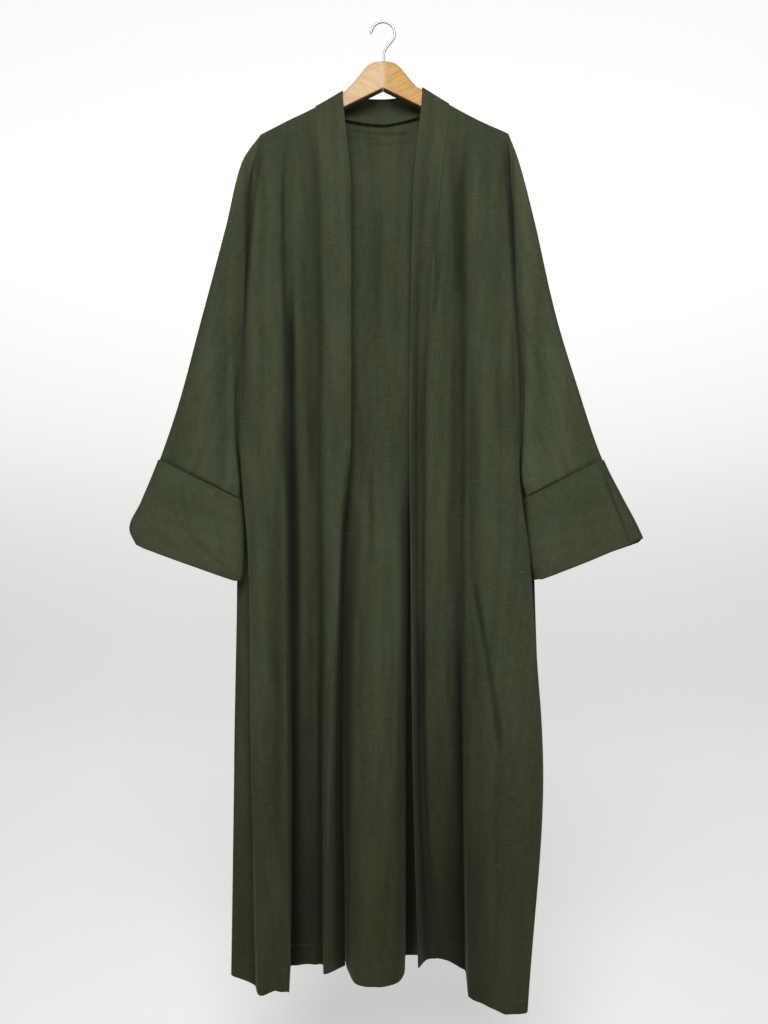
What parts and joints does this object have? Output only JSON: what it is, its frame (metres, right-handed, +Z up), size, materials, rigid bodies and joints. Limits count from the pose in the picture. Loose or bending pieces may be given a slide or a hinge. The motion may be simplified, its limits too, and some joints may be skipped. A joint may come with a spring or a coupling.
{
  "type": "open-front kimono on a wooden hanger",
  "caption": "Long open-front kimono robe with deep wide sleeves, turned-back cuffs and a band round the neck, hung on a wooden hanger with a wire hook.",
  "frame": {"origin": "inner top of the hanger's hook, where it rests on what holds it", "axes": "+Z up, +X to the right as seen from the garment's front, +Y from the front towards the wall behind"},
  "size_m": [0.8122, 0.1515, 1.498],
  "materials": {
    "cloth": "matt dark olive linen-look weave with lighter slub threads",
    "collar_cloth": "the same weave, folded double as the back neck's band",
    "light_wood": "satin lacquer, light tone",
    "warm_wood": "satin lacquer, warmer tone",
    "chrome": "bright plated wire"
  },
  "bodies": {
    "root": {"back": "cloth", "front_left": "cloth", "front_right": "cloth", "sleeve_left": "cloth", "sleeve_right": "cloth", "cuff_left": "cloth", "cuff_right": "cloth", "band_left": "cloth", "band_right": "cloth", "collar_back": "collar_cloth", "hanger_arm_left": "light_wood", "hanger_arm_right": "warm_wood", "hanger_hook": "chrome"}
  },
  "joints": []
}
